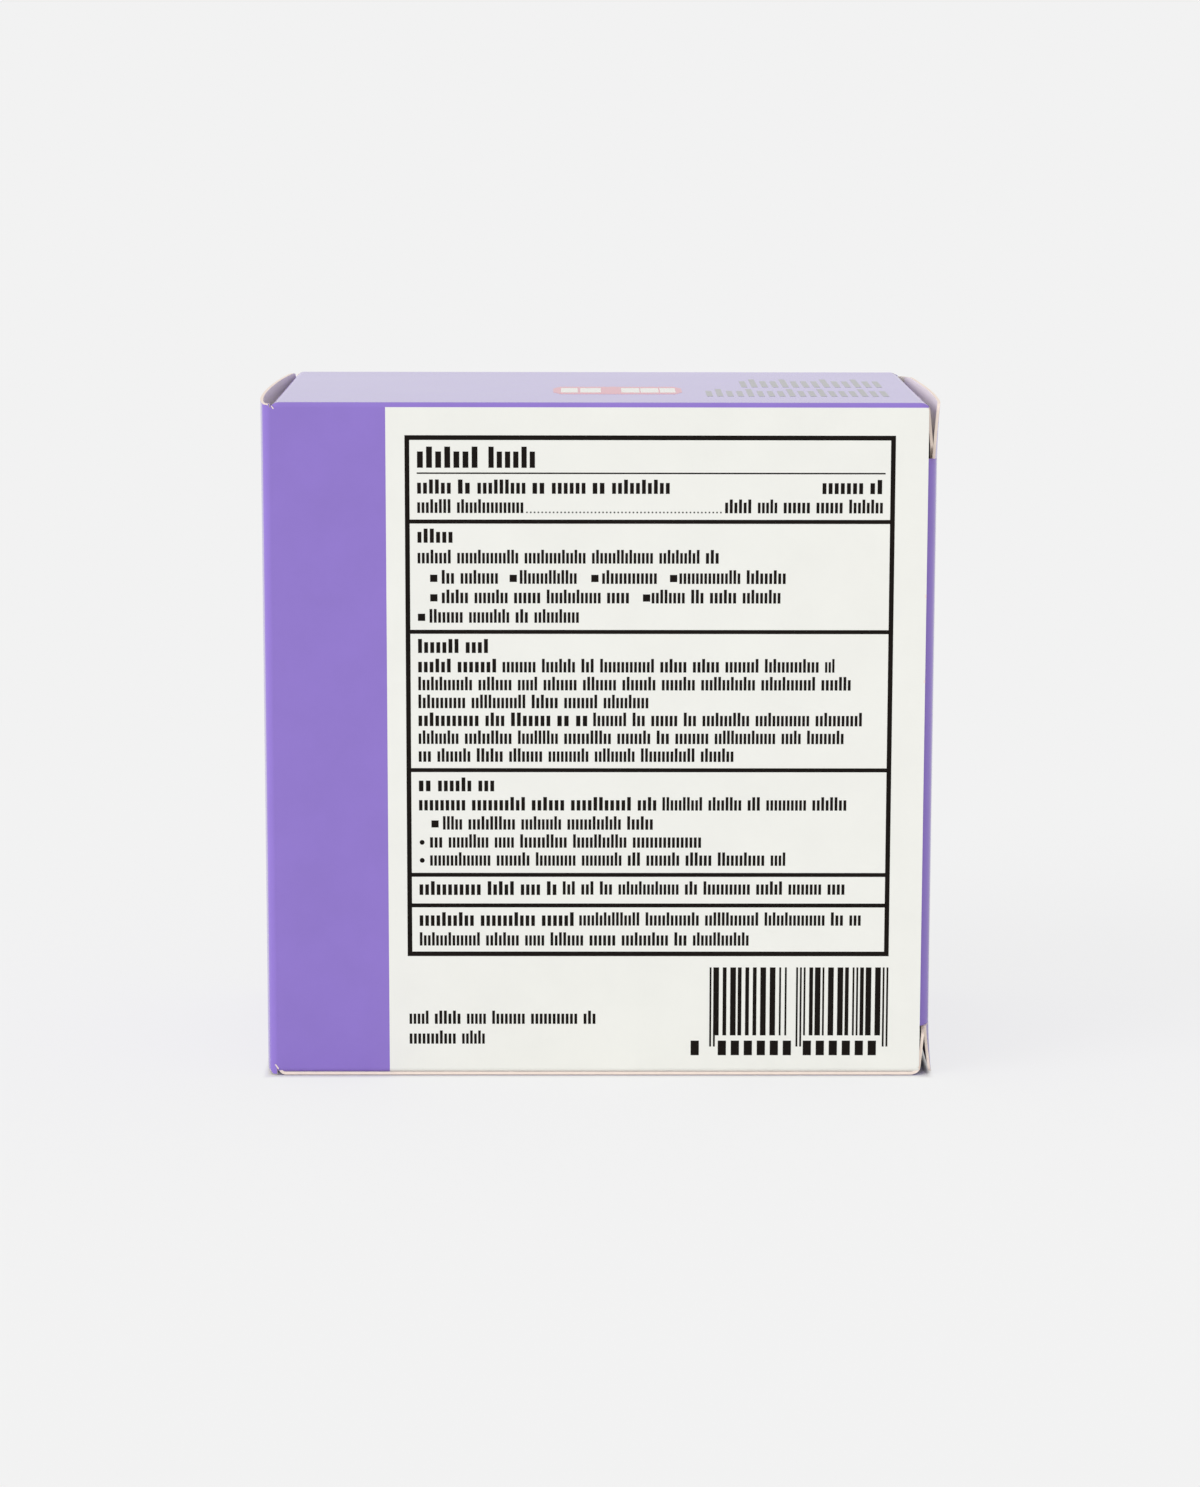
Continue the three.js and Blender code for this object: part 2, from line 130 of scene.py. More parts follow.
# Materials: scales of their noise, per metre, and heights of their relief in millimetres
TOOTH_SCALE, TOOTH_DETAIL, TOOTH_STRENGTH = 2600.0, 3.0, 0.5
WAVE_SCALE, WAVE_DETAIL, WAVE_STRENGTH = 38.0, 1.0, 1.0
PRINT_SPECKS, PRINT_TOOTH = 140.0, 0.004
RAW_SPECKS, RAW_TOOTH, RAW_MOTTLE, RAW_ROUGHNESS = 900.0, 0.02, 0.01, 0.85

# Light, and the two parts of what the camera sees of the floor near the box
WORLD_LEVEL = 0.78
FLOOR_SHADE = 0.16
FLOOR_PLAIN = 0.74
FLOOR_HEIGHT = -0.12  # a little low, so that the board's edge keeps its line of shade
FLOOR_REACH = 40.0
UNDER_BOX = (0.2 * MM, 1.3 * MM)  # past the box, from the floor's full shading to the light shadow
SHADOW_FADE = (0.09, 0.3)  # from the middle, in metres, from the light shadow to plain background


def linear(rgb):
    """The linear colour of an sRGB colour given as 0 to 255."""
    def channel(value):
        c = value / 255
        return c / 12.92 if c <= 0.04045 else ((c + 0.055) / 1.055) ** 2.4
    return (*(channel(value) for value in rgb), 1.0)


class Nodes:
    """Short calls to build a material's node tree."""

    def __init__(self, name):
        self.material = bpy.data.materials.new(name)
        self.material.use_nodes = True
        self.tree = self.material.node_tree
        self.shader = self.tree.nodes["Principled BSDF"]
        self.output = self.tree.nodes["Material Output"]

    def add(self, kind, **values):
        node = self.tree.nodes.new(kind)
        for key, value in values.items():
            setattr(node, key, value)
        return node

    def link(self, source, target):
        self.tree.links.new(source, target)

    def noise(self, scale, detail=2.0, roughness=0.5):
        if not hasattr(self, "coordinates"):
            self.coordinates = self.add("ShaderNodeTexCoord").outputs["Object"]
        node = self.add("ShaderNodeTexNoise")
        node.inputs["Scale"].default_value = scale
        node.inputs["Detail"].default_value = detail
        node.inputs["Roughness"].default_value = roughness
        self.link(self.coordinates, node.inputs["Vector"])
        return node.outputs["Fac"]

    def ramp(self, fac, stops):
        node = self.add("ShaderNodeValToRGB")
        elements = node.color_ramp.elements
        while len(elements) < len(stops):
            elements.new(0.5)
        for element, (place, colour) in zip(elements, stops):
            element.position = place
            element.color = colour
        self.link(fac, node.inputs["Fac"])
        return node.outputs["Color"]

    def bump(self, height, distance, strength):
        node = self.add("ShaderNodeBump")
        node.inputs["Strength"].default_value = strength
        node.inputs["Distance"].default_value = distance
        self.link(height, node.inputs["Height"])
        normal = self.shader.inputs["Normal"]
        if normal.is_linked:
            self.link(normal.links[0].from_socket, node.inputs["Normal"])
        self.link(node.outputs["Normal"], normal)


def shaded(rgb, factor):
    """A colour made darker or lighter by a factor."""
    return tuple(channel * factor for channel in rgb)


def paper_material(name, rgb, roughness, mottle, speck_scale, bump_mm, wave_mm=0.0):
    """Board or paper: one colour with a fine mottle and the tooth of its fibres."""
    nodes = Nodes(name)
    cloudy = nodes.noise(speck_scale, 4.0)
    colour = nodes.ramp(cloudy, [
        (0.3, linear(shaded(rgb, 1 - mottle))),
        (0.7, linear(shaded(rgb, 1 + mottle))),
    ])
    nodes.link(colour, nodes.shader.inputs["Base Color"])
    nodes.shader.inputs["Roughness"].default_value = roughness
    nodes.bump(nodes.noise(TOOTH_SCALE, TOOTH_DETAIL), bump_mm * MM, TOOTH_STRENGTH)
    if wave_mm:
        nodes.bump(nodes.noise(WAVE_SCALE, WAVE_DETAIL), wave_mm * MM, WAVE_STRENGTH)
    return nodes


def print_material(name, rgb, mottle=0.012, gloss=0.13, specular=0.5, wave_mm=0.12):
    """Varnished print on board that isn't quite flat."""
    nodes = paper_material(name, rgb, gloss, mottle, PRINT_SPECKS, PRINT_TOOTH, wave_mm)
    nodes.shader.inputs["Specular IOR Level"].default_value = specular
    return nodes.material


def raw_material(name, rgb):
    """Bare board, as on its inner face and its cut edge."""
    return paper_material(name, rgb, RAW_ROUGHNESS, RAW_MOTTLE, RAW_SPECKS, RAW_TOOTH).material


PRINT_PURPLE = print_material("print_purple", PURPLE)
PRINT_WHITE = print_material("print_white", FIELD_WHITE, mottle=0.006, gloss=0.35)
BOARD_INSIDE = raw_material("board_inside", BOARD_CREAM)
BOARD_EDGE = raw_material("board_edge", EDGE_CREAM)
INK = print_material("ink_black", INK_BLACK, mottle=0.1, gloss=0.6, specular=0.08)
PRINT_CRIMSON = print_material("print_crimson", CRIMSON)
PRINT_DARK = print_material("print_dark", DARK_VIOLET)

# A sheet of board's materials, and their places in the list
CARD = [PRINT_PURPLE, PRINT_WHITE, BOARD_INSIDE, BOARD_EDGE]
CARD_PURPLE, CARD_WHITE, CARD_INSIDE, CARD_EDGE = range(4)

JOIN = 1e-5  # flat points closer than this are joined
SAME_POINT = 1e-4  # and an outline's corners closer than this are one
PAST_EDGE = 1  # how far a line of vertices runs past the edge that it has to cross
ARC_STEPS = 6


class Path:
    """A line of straight stretches and arcs in a plane, measured along its length."""

    def __init__(self, start, heading, stretches):
        self.pieces = []
        point, angle, done = Vector(start), heading, 0.0
        for length, turn in stretches:
            self.pieces.append((done, length, turn, point.copy(), angle))
            point, angle = self.step(point, angle, length, turn, length)
            done += length
        self.length = done

    @staticmethod
    def step(point, angle, length, turn, distance):
        if not turn:
            return point + distance * Vector((math.cos(angle), math.sin(angle))), angle
        radius = length / turn
        after = angle + distance / radius
        moved = Vector((math.sin(after) - math.sin(angle), math.cos(angle) - math.cos(after)))
        return point + radius * moved, after

    def at(self, distance):
        chosen = self.pieces[0]
        for piece in self.pieces:
            if distance >= piece[0]:
                chosen = piece
        done, length, turn, point, angle = chosen
        return self.step(point, angle, length, turn, distance - done)

    def joints(self, arc_steps):
        """Distances at which the surface needs a line of vertices."""
        found = []
        for done, length, turn, _, _ in self.pieces:
            steps = arc_steps if turn else 1
            found += [done + length * k / steps for k in range(steps + 1)]
        return sorted(set(round(value, 6) for value in found))


def inside(point, polygon):
    """Whether a point lies in a polygon."""
    x, y = point
    crossings = 0
    for (x0, y0), (x1, y1) in zip(polygon, polygon[1:] + polygon[:1]):
        if (y0 > y) != (y1 > y) and x < x0 + (y - y0) * (x1 - x0) / (y1 - y0):
            crossings += 1
    return crossings % 2 == 1


def folded_sheet(name, outline, lines, fold, colour_at):
    """A sheet of board cut to a flat outline and folded. lines are pairs of flat points along which it needs
    vertices, fold gives the middle surface's place and outward direction of a flat point, and colour_at the
    index in CARD of the outer face's material at a flat point."""
    points = [Vector(point) for point in outline]
    edges = [(i, (i + 1) % len(points)) for i in range(len(points))]
    for a, b in lines:
        edges.append((len(points), len(points) + 1))
        points += [Vector(a), Vector(b)]
    flat, _, faces = geometry.delaunay_2d_cdt(points, edges, [], 0, JOIN)[:3]
    polygon = [tuple(point) for point in outline]
    kept = []
    for face in faces:
        middle = sum((flat[i] for i in face), Vector((0, 0))) / len(face)
        if inside(middle, polygon):
            kept.append((list(face), middle))
    used = sorted({i for face, _ in kept for i in face})
    index = {old: new for new, old in enumerate(used)}
    count = len(used)
    placed = [fold(*flat[i]) for i in used]
    vertices = [(place + side * MID * out) * MM for side in (1, -1) for place, out in placed]
    triangles, normals, slots = [], [], []

    def add_face(corner_indices, corner_normals, slot_index):
        triangles.append(corner_indices)
        normals.extend(corner_normals)
        slots.append(slot_index)

    boundary = {}
    for face, middle in kept:
        corners = [index[i] for i in face]
        a, b, c = (placed[i][0] for i in corners)
        if (b - a).cross(c - a).dot(placed[corners[0]][1]) < 0:
            corners.reverse()
        add_face(corners, [placed[i][1] for i in corners], colour_at(*middle))
        inner = [i + count for i in reversed(corners)]
        add_face(inner, [-placed[i - count][1] for i in inner], CARD_INSIDE)
        for i, j in zip(corners, corners[1:] + corners[:1]):
            if (j, i) in boundary:
                del boundary[(j, i)]
            else:
                boundary[(i, j)] = True
    for i, j in boundary:
        along = placed[j][0] - placed[i][0]
        out = along.cross(placed[i][1]).normalized()
        add_face([j, i, i + count, j + count], [out] * 4, CARD_EDGE)
    mesh = bpy.data.meshes.new(name)
    mesh.from_pydata(vertices, [], triangles)
    for material in CARD:
        mesh.materials.append(material)
    for polygon_face, slot_index in zip(mesh.polygons, slots):
        polygon_face.material_index = slot_index
        polygon_face.use_smooth = True
    mesh.normals_split_custom_set(normals)
    piece = bpy.data.objects.new(name, mesh)
    bpy.context.scene.collection.objects.link(piece)
    return piece


def rounded(corner, before, after, radius, steps=6):
    """Points of a round of that radius where a right angle would be."""
    corner, before, after = Vector(corner), Vector(before).normalized(), Vector(after).normalized()
    start = corner - before * radius
    centre = start + after * radius
    return [
        tuple(centre - after * radius * math.cos(t) + before * radius * math.sin(t))
        for t in (math.pi / 2 * k / steps for k in range(steps + 1))
    ]


def curved(first, control, last, steps=6):
    """Points of a curve from the first point to the last, drawn towards the control point."""
    a, b, c = Vector(first), Vector(control), Vector(last)
    shares = [k / steps for k in range(steps + 1)]
    return [tuple((1 - t) ** 2 * a + 2 * t * (1 - t) * b + t * t * c) for t in shares]


# The tube's section in Y and Z, along the middle of the board: s = 0 where the rear panel's flat begins.
RISE = math.pi / 2
TUBE_BEND = TUBE_CREASE - MID
TUBE_ARC = TUBE_BEND * RISE
REAR_LOW = 2 * BOARD - MID + TUBE_BEND
TAB_FLAT = GLUE_TAB_WIDTH - TUBE_BEND
REAR_FLAT = HEIGHT - TUBE_CREASE - REAR_LOW
SIDE_FLAT = HEIGHT - 2 * TUBE_CREASE
CAP_FLAT = 2 * (HALF_DEPTH - TUBE_CREASE)
BASE_FLAT = CAP_FLAT + TUBE_BEND
TUBE = Path(
    (-(HALF_DEPTH - MID) + GLUE_TAB_WIDTH, 2 * BOARD - MID),
    math.pi,
    [
        (TAB_FLAT, 0),
        (TUBE_ARC, -RISE),
        (REAR_FLAT, 0),
        (TUBE_ARC, -RISE),
        (CAP_FLAT, 0),
        (TUBE_ARC, -RISE),
        (SIDE_FLAT, 0),
        (TUBE_ARC, -RISE),
        (BASE_FLAT, 0),
    ],
)
S_REAR = TAB_FLAT + TUBE_ARC
S_TOP = S_REAR + REAR_FLAT + TUBE_ARC
S_FRONT = S_TOP + CAP_FLAT + TUBE_ARC
S_BASE = S_FRONT + SIDE_FLAT + TUBE_ARC

# The sections past the panels' ends: a dust flap, and the crease that carries an end flap.
DUST_BEND = DUST_CREASE - MID
DUST_START = HALF_LENGTH - DUST_CREASE


def dust_path(end):
    """A dust flap's crease, its root, the knee above it, and the rest up to its tip."""
    lean, tip = end["root_lean"], end["tip_lean"]
    knee = DUST_KNEE_RADIUS * abs(lean - tip)
    stretches = [(DUST_BEND * (RISE - lean), RISE - lean), (DUST_ROOT - DUST_BEND, 0)]
    if knee:
        stretches.append((knee, lean - tip))
    stretches.append((DUST_LENGTH - DUST_ROOT - knee, 0))
    return Path((DUST_START, 0), 0, stretches)


DUST = {-1: dust_path(LEFT_END), 1: dust_path(RIGHT_END)}
CREASE_START = HINGE_X - FLAP_CREASE
SLIT_X = HALF_LENGTH + CREASE_SLIT
FLAP_BEND = FLAP_CREASE - MID
CREASE = Path((CREASE_START, 0), 0, [(FLAP_BEND * RISE, RISE)])

# Where the upright panels' flat stretches begin and end, and on which end each carries its end flap.
UPRIGHTS = ((S_REAR, S_REAR + REAR_FLAT, -1), (S_FRONT, S_FRONT + SIDE_FLAT, 1))


def cap_share(s):
    """0 on the upright panels, 1 on the top and bottom panels, rising over the creases between them."""
    if s < S_REAR:
        return 0
    return min(min(max(first - s, s - last, 0) for first, last, _ in UPRIGHTS) / TUBE_ARC, 1)


def carton_fold(x, s):
    """Place and outward direction of a flat point of the carton."""
    side = 1 if x > 0 else -1
    for first, last, crease_side in UPRIGHTS:
        past_slit = abs(x) > SLIT_X - CREASE_SLIT / 2
        if side == crease_side and past_slit and first - PAST_EDGE < s < last + PAST_EDGE:
            flat_s = min(max(s, first), last)
            (y, z), heading = TUBE.at(flat_s)
            z += (s - flat_s) * math.sin(heading)
            out = Vector((0, -math.sin(heading), 0))
            (along, depth), turned = CREASE.at(max(abs(x) - CREASE_START, 0))
            place = Vector((side * along, y, z)) - out * depth
            return place, out * math.cos(turned) + Vector((side * math.sin(turned), 0, 0))
    (y, z), heading = TUBE.at(s)
    out = Vector((0, -math.sin(heading), math.cos(heading)))
    flat = Vector((x, y, z))
    share = cap_share(s)
    if share <= 0 or abs(x) <= DUST_START:
        return flat, out
    (along, depth), turned = DUST[side].at(abs(x) - DUST_START)
    if side > 0:
        risen = min((abs(x) - DUST_START) / DUST_CREASE, 1)
        along += DUST_SPRING * risen * (HALF_DEPTH - y) / (2 * HALF_DEPTH)
    bent = Vector((side * along, y, z)) - out * depth
    leaning = out * math.cos(turned) + Vector((side * math.sin(turned), 0, 0))
    return flat.lerp(bent, share), out.lerp(leaning, share).normalized()


def dust_outline(side):
    """Flat points of a dust flap whose tuck side is -Y, as (distance past the panel's end, y)."""
    tuck_side = -(HALF_DEPTH - TUBE_CREASE)
    crease_side = HINGE_Y - DUST_SIDE_GAP
    arc = DUST_BEND * RISE
    low = arc + DUST_SHOULDER - DUST_CREASE
    length = DUST[side].length
    taper = DUST_TAPER
    points = [(0, tuck_side), (low, tuck_side), (low + DUST_STEP, tuck_side + DUST_STEP)]
    corner_low = (length, tuck_side + DUST_STEP + taper)
    corner_high = (length, crease_side - taper)
    points += rounded(corner_low, (1, 0), (0, 1), DUST_TIP_RADIUS)
    points += rounded(corner_high, (0, 1), (-1, 0), DUST_TIP_RADIUS)
    points += [(arc, crease_side), (0, crease_side)]
    return [(max(a, 0), b) for a, b in points]


def carton_end(side):
    """The flat outline of one end, from the glue tab to the bottom panel's cut edge, as (distance, s)."""
    cut = HALF_LENGTH + CUT_EDGE_OVERHANG
    hinge = CREASE_START + CREASE.length
    cap = HALF_LENGTH + CAP_CUT
    tab_end = HALF_LENGTH - GLUE_TAB_END_GAP
    foot = FLAP_BOTTOM_GAP - TUBE_CREASE
    head = TUBE_CREASE - FLAP_TOP_GAP
    points = [(tab_end - GLUE_TAB_TAPER, 0), (tab_end, TAB_FLAT), (cap, TAB_FLAT)]

    def crease_corner(edge, towards, by_crease):
        """The end of one of the tube's creases: cut square beside an end flap's crease, otherwise round."""
        if by_crease:
            return [(cap, edge), (cap, edge + towards * TUBE_ARC)]
        angles = [RISE * k / ARC_STEPS for k in range(ARC_STEPS + 1)]
        return [
            (DUST_START + (cap - DUST_START) * math.cos(t), edge + towards * TUBE_ARC * math.sin(t))
            for t in angles
        ]

    def upright(first, last, crease_side):
        """The end of the rear or front panel: its cut edge, or the strip that carries an end flap."""
        if side != crease_side:
            return [
                *rounded((cut, first), (1, 0), (0, 1), CUT_EDGE_CORNER),
                *rounded((cut, last), (0, 1), (-1, 0), CUT_EDGE_CORNER),
            ]
        rising = crease_side < 0
        taper = (LEFT_END if rising else RIGHT_END)["crease_taper"]
        low_extra, high_extra = (foot - BOARD, head - taper) if rising else (taper - head, -foot)
        strip = [(SLIT_X, first), (SLIT_X, first + low_extra)]
        strip += foot_cut(hinge, first + low_extra, 1) if rising else [(hinge, first + low_extra)]
        strip += [(hinge, last + high_extra)] if rising else foot_cut(hinge, last + high_extra, -1)
        return strip + [(SLIT_X, last + high_extra), (SLIT_X, last)]

    def capped(first, backwards, whole):
        """A dust flap on the top or bottom panel, which begins at s = first."""
        flap = [(DUST_START + a, b if side > 0 else -b) for a, b in dust_outline(side)]
        if backwards and side > 0:
            tuck_side = flap[0][1]
            flap = [(a, b - TUBE_BEND if b == tuck_side else b) for a, b in flap]
        if (side > 0) == backwards:
            flap.reverse()
        low = -(HALF_DEPTH - TUBE_CREASE)
        return [(a, first + (b - low if whole else -b - low)) for a, b in flap]

    (rear_first, rear_last, rear_side), (front_first, front_last, front_side) = UPRIGHTS
    points += [(cap, rear_first)]
    points += upright(rear_first, rear_last, rear_side)
    points += crease_corner(rear_last, 1, side == rear_side)
    points += capped(S_TOP, False, True)
    points += reversed(crease_corner(front_first, -1, side == front_side))
    points += upright(front_first, front_last, front_side)
    points += crease_corner(front_last, 1, side == front_side)
    points += capped(S_BASE, True, False)
    if side == rear_side:
        return points + [(cap, TUBE.length - SEAM_STEP), (cap, TUBE.length)]
    return points + [(DUST_START, TUBE.length)]


def foot_cut(hinge, edge, up):
    """The slanted cut at the lower end of the crease. up is 1 where s rises from it, else -1."""
    corner = [(hinge - CREASE_FOOT, edge), (hinge, edge + up * CREASE_FOOT)]
    return corner if up > 0 else corner[::-1]


def carton_outline():
    right = carton_end(1)
    left = [(-a, s) for a, s in reversed(carton_end(-1))]
    points = []
    for point in right + left:
        if not points or (Vector(point) - Vector(points[-1])).length > SAME_POINT:
            points.append(point)
    return points


def carton_lines():
    """The lines of vertices that the carton's folds and its print need."""
    reach = HINGE_X + DUST_LENGTH
    caps = ((S_TOP - TUBE_ARC, S_TOP + CAP_FLAT + TUBE_ARC), (S_BASE - TUBE_ARC, TUBE.length))
    lines = [((-reach, s), (reach, s)) for s in TUBE.joints(ARC_STEPS)]
    for side in (1, -1):
        for low, high in caps:
            for d in (*DUST[side].joints(ARC_STEPS), DUST_BLEED):
                x = side * (DUST_START + d)
                lines.append(((x, low), (x, high)))
        for first, last, crease_side in UPRIGHTS:
            if side == crease_side:
                for d in CREASE.joints(ARC_STEPS):
                    x = side * (CREASE_START + d)
                    lines.append(((x, first - PAST_EDGE), (x, last + PAST_EDGE)))
    field_top = S_REAR + REAR_FLAT - FIELD_TOP_GAP
    lines.append(((FIELD_LEFT, S_REAR - TUBE_ARC), (FIELD_LEFT, field_top)))
    lines.append(((FIELD_LEFT, field_top), (reach, field_top)))
    return lines


def carton_colour(x, s):
    """White in the rear panel's field and on the dust flaps past the print's bleed, otherwise purple."""
    on_dust_flap = abs(x) > DUST_START + DUST_BLEED and cap_share(s) > 0.99
    in_field = x > FIELD_LEFT and S_REAR - TUBE_ARC < s < S_REAR + REAR_FLAT - FIELD_TOP_GAP
    return CARD_WHITE if on_dust_flap or in_field else CARD_PURPLE


def make_carton():
    piece = folded_sheet("carton_board", carton_outline(), carton_lines(), carton_fold, carton_colour)
    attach(piece, "carton")
    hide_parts("carton")
    return piece


def bezier(corners, t):
    """Place and heading at t from 0 to 1 on the cubic curve with those four control points."""
    a, b, c, d = corners
    u = 1 - t
    place = u**3 * a + 3 * u * u * t * b + 3 * u * t * t * c + t**3 * d
    along = 3 * (u * u * (b - a) + 2 * u * t * (c - b) + t * t * (d - c))
    return place, along.normalized()


def bow_point(end, t):
    """The middle of an end flap's board at the +X end: place and heading, t from 0 at its crease to 1."""
    corners = (
        Vector((HINGE_X - MID, HINGE_Y)),
        Vector((HINGE_X - MID + end["crease_pull"], HINGE_Y - end["crease_reach"])),
        Vector((HINGE_X - MID + end["tuck_pull"], HINGE_Y - TUCK_RADIUS + end["tuck_reach"])),
        Vector((HINGE_X - MID + end["stand_off"], HINGE_Y - TUCK_RADIUS)),
    )
    return bezier(corners, t)


def flap_section(end, steps=48, fold_steps=10, tuck_steps=10):
    """Places and headings along an end flap's board: its whole panel, the panel up to the tuck's fold, and
    the fold and tuck."""
    bend = TUCK_CREASE - MID
    corner = bow_point(end, 1)[0]
    tuck_angle = TUCK_LENGTH / TUCK_RADIUS
    first = bend / TUCK_RADIUS + FOLD_EASE
    hinge = Vector((HINGE_X, HINGE_Y))

    def on_tuck(angle):
        place = hinge - TUCK_RADIUS * Vector((math.sin(angle), math.cos(angle)))
        return place, Vector((-math.cos(angle), math.sin(angle)))

    panel = [bow_point(end, k / steps) for k in range(steps + 1)]
    kept = [item for item in panel if (item[0] - corner).length > bend]
    (p0, h0), (p3, h3) = kept[-1], on_tuck(first)
    pull = (p3 - p0).length * FOLD_PULL
    corners = (p0, p0 + h0 * pull, p3 - h3 * pull, p3)
    fold = [bezier(corners, k / fold_steps) for k in range(1, fold_steps)]
    tuck = [on_tuck(first + (tuck_angle - first) * k / tuck_steps) for k in range(tuck_steps + 1)]
    return panel, kept, fold + tuck


def measured(items):
    """How far along a section each of its places is."""
    distances = [0.0]
    for (a, _), (b, _) in zip(items, items[1:]):
        distances.append(distances[-1] + (b - a).length)
    return distances


def along_section(items, distances, d):
    """Place and heading at the distance d along a section."""
    for k in range(len(distances) - 1):
        if d <= distances[k + 1] or k == len(distances) - 2:
            share = (d - distances[k]) / (distances[k + 1] - distances[k])
            place = items[k][0].lerp(items[k + 1][0], share)
            heading = items[k][1].lerp(items[k + 1][1], min(max(share, 0), 1)).normalized()
            return place, heading


def make_end_flap(name, end, body, node, turned):
    """An end flap with its tuck. It is drawn at the +X end, and turned half round for the -X end."""
    panel, kept, folded = flap_section(end)
    straight_d = measured(panel)
    whole = kept + folded
    whole_d = measured(whole)
    slit_start = whole_d[len(kept) - 1]
    edge = straight_d[-1]
    low, high = FLAP_BOTTOM_GAP, HEIGHT - FLAP_TOP_GAP
    low_slit, high_slit = low + LOW_TUCK_SHOULDER, high - TUCK_SHOULDER
    slit = CUT_WIDTH
    total = whole_d[-1]

    def fold(d, z):
        if low_slit - slit / 2 <= z <= high_slit + slit / 2:
            place, heading = along_section(whole, whole_d, d)
            lift = 0.0
        else:
            place, heading = along_section(panel, straight_d, d)
            past_slit = (low_slit - z if z < low_slit else z - high_slit) / TUCK_SHOULDER
            near_edge = max(0.0, 1 - (edge - d) / FLARE_REACH)
            flare = end["low_flare"] if z < low_slit else end["flare"]
            lift = flare * past_slit**FLARE_POWER * near_edge**2
        out = Vector((-heading.y, heading.x))
        place = place + out * lift
        x, y = place
        nx, ny = out
        if turned:
            x, y, nx, ny = -x, -y, -nx, -ny
        return Vector((x, y, z)), Vector((nx, ny, 0))

    taper, taper_end = end["crease_taper"], end["crease_taper_length"]
    drop, reach = end["corner_drop"], end["corner_reach"]
    outline = [(0.0, low + taper), (taper_end, low)]
    outline += curved((edge - reach, low), (edge, low), (edge, low + drop))
    outline += [(edge, low_slit - slit), (slit_start, low_slit - slit), (slit_start, low_slit)]
    outline += rounded((total, low_slit), (1, 0), (0, 1), TUCK_CORNER, 14)
    outline += rounded((total, high_slit), (0, 1), (-1, 0), TUCK_CORNER, 14)
    outline += [(slit_start, high_slit), (slit_start, high_slit + slit), (edge, high_slit + slit)]
    outline += curved((edge, high - drop), (edge, high), (edge - reach, high))
    outline += [(taper_end, high), (0.0, high - taper)]
    lines = [((d, low - PAST_EDGE), (d, high + PAST_EDGE)) for d in straight_d[1:-1] if d < slit_start]
    lines += [((d, low_slit), (d, high_slit)) for d in whole_d if slit_start <= d < total]
    lines += [((d, z0), (d, z1)) for d in straight_d if d >= slit_start
              for z0, z1 in ((low - PAST_EDGE, low_slit - slit), (high_slit + slit, high + PAST_EDGE))]
    for k in range(ARC_STEPS + 1):
        for z in (low + TUCK_SHOULDER * k / ARC_STEPS, high - TUCK_SHOULDER * k / ARC_STEPS):
            lines.append(((edge - FLARE_REACH - 2 * PAST_EDGE, z), (edge + PAST_EDGE, z)))
    piece = folded_sheet(name, outline, lines, fold, lambda d, z: CARD_PURPLE)
    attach(piece, body)
    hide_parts(node)
    return piece


def box_piece(name, boxes, material, body):
    """Many small plain solids joined in one piece. Each is its lower corners and as many upper corners."""
    vertices, faces = [], []
    for lower, upper in boxes:
        base = len(vertices)
        vertices += [Vector(corner) * MM for corner in (*lower, *upper)]
        count = len(lower)
        faces.append([base + i for i in reversed(range(count))])
        faces.append([base + count + i for i in range(count)])
        for i in range(count):
            j = (i + 1) % count
            faces.append([base + i, base + j, base + count + j, base + count + i])
    mesh = bpy.data.meshes.new(name)
    mesh.from_pydata(vertices, [], faces)
    mesh.materials.append(material)
    piece = bpy.data.objects.new(name, mesh)
    bpy.context.scene.collection.objects.link(piece)
    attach(piece, body)
    return piece


class Print:
    """Flat shapes printed on a panel: place turns (across, up) on the panel and a height into a point."""

    def __init__(self, place, proud=INK_PROUD):
        self.place = place
        self.proud = proud
        self.solids = []

    def shape(self, corners):
        lower = [self.place(a, b, -INK_PROUD) for a, b in corners]
        upper = [self.place(a, b, self.proud) for a, b in corners]
        self.solids.append((lower, upper))

    def rectangle(self, left, low, right, high):
        self.shape([(left, low), (right, low), (right, high), (left, high)])

    def ellipse(self, across, up, half_width, half_height, sides=24):
        angles = [2 * math.pi * k / sides for k in range(sides)]
        self.shape([(across + half_width * math.cos(t), up + half_height * math.sin(t)) for t in angles])


# Small print, as shares of its size: the stretch of one letter, the gap after a word, the shortest rest of
# a line, the height of the low bars, and the pitch of bars of weight 1. INK_SHARE is a bar's share of its
# pitch, and TALL_BARS the share of tall bars.
LETTER, WORD_GAP, SHORTEST_REST, LOW_BAR, BAR_PITCH = 0.5, 0.36, 0.9, 0.77, 1.55
INK_SHARE = 0.64
TALL_BARS = 0.22
WORD_LETTERS = (2, 3, 4, 5, 5, 6, 7, 8, 9)


def plain_words(rng, left, right, size):
    """Stretches of plain print that fill a line, as (start, end), with the gaps of a text between them."""
    runs, at = [], left
    while right - at > size * LETTER:
        end = at + rng.choice(WORD_LETTERS) * size * LETTER
        if right - end < size * SHORTEST_REST:
            end = right
        runs.append((at, end))
        at = end + size * WORD_GAP
    return runs


def text_line(sheet, rng, left, right, base, size, weight=0.2):
    """A line of plain upright bars that stands for small print. size is the height of its tallest bars."""
    low_size = size * LOW_BAR
    for start, end in plain_words(rng, left, right, size):
        count = max(2, round((end - start) / (size * weight * BAR_PITCH)))
        pitch = (end - start) / count
        for k in range(count):
            height = size if rng.random() < TALL_BARS else low_size
            at = start + k * pitch
            sheet.rectangle(at, base, at + pitch * INK_SHARE, base + height)


def rear_place(across, up, height):
    return (across, -HALF_DEPTH - height, up)


